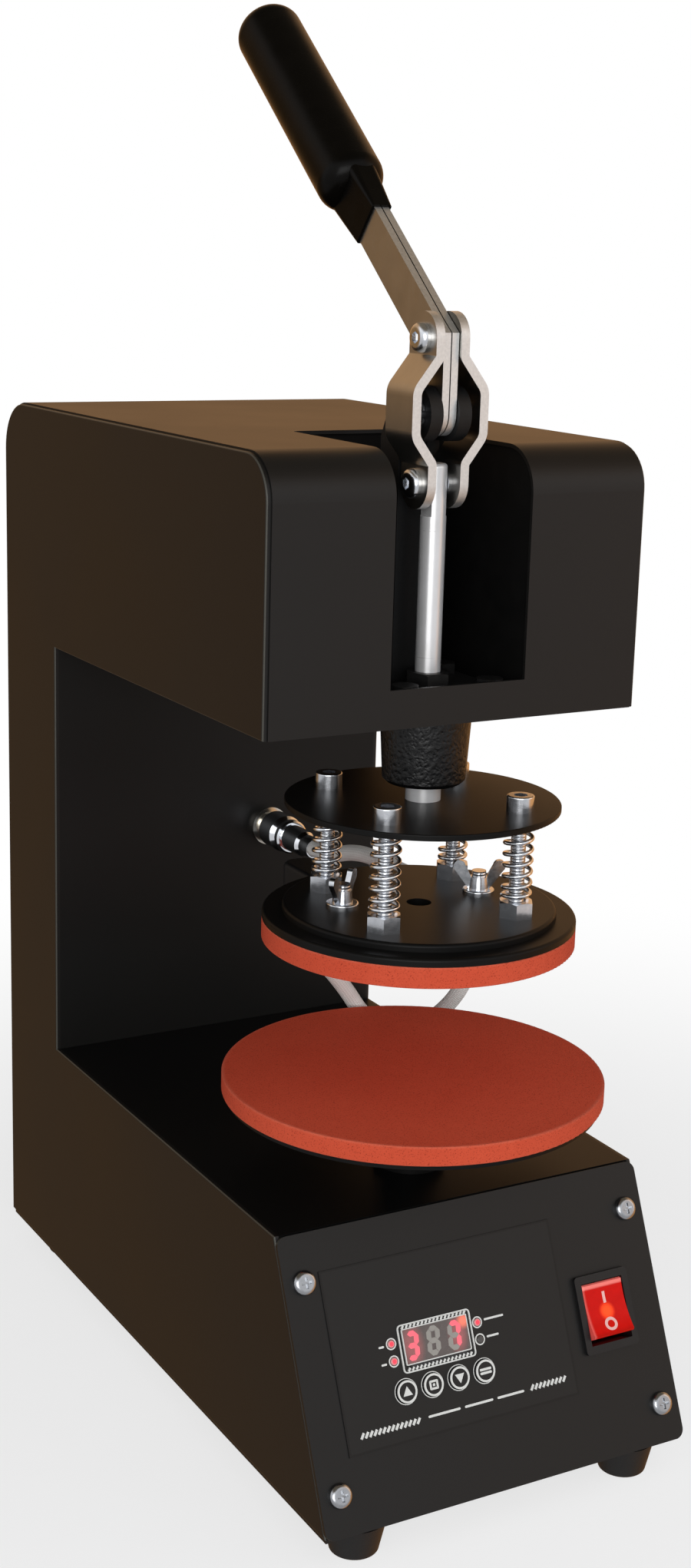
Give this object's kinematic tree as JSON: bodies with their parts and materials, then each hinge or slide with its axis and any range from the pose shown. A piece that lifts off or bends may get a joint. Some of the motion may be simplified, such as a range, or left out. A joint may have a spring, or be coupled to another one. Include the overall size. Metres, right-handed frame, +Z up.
{
  "type": "plate heat press",
  "caption": "Bench heat press with a C-shaped body, a toggle lever clamp, a round sprung heating plate above a round pad and a sloping control panel.",
  "frame": {"origin": "middle of the footprint, at the table", "axes": "+Z up, the control panel and the open side face -Y, +X to the right of a person standing in front"},
  "size_m": [0.166, 0.324, 0.577],
  "materials": {
    "painted_shell": "fine black powder coat",
    "black_steel": "black primer",
    "zinc_hardware": "zinc plated",
    "zinc_strip": "pressed and zinc plated",
    "chrome_screws": "polished",
    "bright_hardware": "bright plated",
    "bright_steel": "turned bright",
    "heater_alloy": "satin with polished rim",
    "rod_chrome": "ground and chromed",
    "spring_steel": "drawn wire",
    "cast_black": "black textured enamel",
    "red_silicone": "firm silicone sponge",
    "foot_rubber": "moulded",
    "panel_film": "printed film",
    "display_black": "glossy window",
    "led_resin": "clear lamp resin",
    "board_green": "board",
    "black_plastic": "moulded",
    "plated_brass": "nickel plated",
    "connector_chrome": "polished",
    "white_sleeve": "glass fibre sleeve",
    "grip_black": "dipped plastic",
    "rocker_red": "moulded",
    "key_black": "moulded"
  },
  "bodies": {
    "frame": {"left_side_panel": "painted_shell", "right_side_panel": "painted_shell", "head_cover": "painted_shell", "arm_plate": "black_steel", "spine": "black_steel", "arm_bolts": "zinc_hardware", "slot_channel": "black_steel", "column_cover": "painted_shell", "base_top_cover": "painted_shell", "base_plate": "painted_shell", "feet": "foot_rubber", "foot_screws": "zinc_hardware", "back_cover": "painted_shell", "mains_inlet": "black_plastic", "rear_screws": "zinc_hardware", "clamp_casting": "cast_black", "clamp_bolts": "zinc_hardware", "rod_guide_nut": "zinc_hardware", "pivot_pin": "zinc_hardware", "pivot_clips": "zinc_hardware", "lower_pad": "red_silicone", "lower_disc": "bright_steel", "lower_post": "bright_steel", "base_bridge": "black_steel", "front_panel": "painted_shell", "panel_overlay": "panel_film", "panel_screws": "chrome_screws", "display_lens": "display_black", "digit_module": "display_black", "indicator_leds": "led_resin", "control_board": "board_green", "switch_housing": "black_plastic", "mains_parts": "black_plastic", "lead_socket": "plated_brass", "lead_plug": "connector_chrome", "heater_lead": "white_sleeve"},
    "handle": {"handle_bars": "zinc_strip", "handle_grip": "grip_black", "upper_link_pin": "zinc_hardware"},
    "links": {"left_link": "zinc_strip", "right_link": "zinc_strip", "lower_link_pins": "zinc_hardware"},
    "ram": {"plunger_rod": "rod_chrome", "rod_nut": "zinc_hardware", "spring_carrier_disc": "bright_steel", "pressure_springs": "spring_steel"},
    "heater": {"spring_bolts": "bright_hardware", "spring_seat_nuts": "bright_hardware", "heater_cover_disc": "heater_alloy", "heating_plate": "heater_alloy", "upper_pad": "red_silicone", "heater_studs": "bright_hardware", "heater_boot": "black_plastic"},
    "left_wing": {"left_wing_nut": "bright_hardware"},
    "right_wing": {"right_wing_nut": "bright_hardware"},
    "rocker": {"power_rocker": "rocker_red"},
    "up_key": {"button_up": "key_black"},
    "mode_key": {"button_mode": "key_black"},
    "down_key": {"button_down": "key_black"},
    "set_key": {"button_set": "key_black"}
  },
  "joints": [
    {"name": "handle_hinge", "type": "hinge", "parent": "frame", "child": "handle", "pos_m": [0, -0.07595, 0.421], "axis": [1, 0, 0], "range_deg": [0, 180]},
    {"name": "link_hinge", "type": "hinge", "parent": "handle", "child": "links", "pos_m": [0, -0.07595, 0.449], "axis": [1, 0, 0], "range_deg": [-180, 0]},
    {"name": "ram_slide", "type": "slide", "parent": "frame", "child": "ram", "axis": [0, 0, -1], "range_m": [0, 0.056], "deforming": ["heater_lead"]},
    {"name": "heater_float", "type": "slide", "parent": "ram", "child": "heater", "axis": [0, 0, 1], "range_m": [0, 0.005], "stiffness_N_per_m": 9000, "springref_m": -0.004, "deforming": ["pressure_springs"]},
    {"name": "left_wing_turn", "type": "hinge", "parent": "heater", "child": "left_wing", "pos_m": [-0.02984, -0.06681, 0.2288], "axis": [0, 0, 1], "continuous": true},
    {"name": "right_wing_turn", "type": "hinge", "parent": "heater", "child": "right_wing", "pos_m": [0.02984, -0.07309, 0.2288], "axis": [0, 0, 1], "continuous": true},
    {"name": "rocker_tilt", "type": "hinge", "parent": "frame", "child": "rocker", "pos_m": [0.056, -0.13456, 0.06524], "axis": [1, 0, 0], "range_deg": [0, 18]},
    {"name": "up_press", "type": "slide", "parent": "frame", "child": "up_key", "axis": [0, 0.9151, -0.4033], "range_m": [0, 0.0007], "stiffness_N_per_m": 900, "springref_m": -0.0004},
    {"name": "mode_press", "type": "slide", "parent": "frame", "child": "mode_key", "axis": [0, 0.9151, -0.4033], "range_m": [0, 0.0007], "stiffness_N_per_m": 900, "springref_m": -0.0004},
    {"name": "down_press", "type": "slide", "parent": "frame", "child": "down_key", "axis": [0, 0.9151, -0.4033], "range_m": [0, 0.0007], "stiffness_N_per_m": 900, "springref_m": -0.0004},
    {"name": "set_press", "type": "slide", "parent": "frame", "child": "set_key", "axis": [0, 0.9151, -0.4033], "range_m": [0, 0.0007], "stiffness_N_per_m": 900, "springref_m": -0.0004}
  ],
  "couplings": [
    {"joint": "link_hinge", "follows": "handle_hinge", "ratio": -1},
    {"joint": "ram_slide", "follows": "handle_hinge", "m_per_rad": 0.017825}
  ]
}
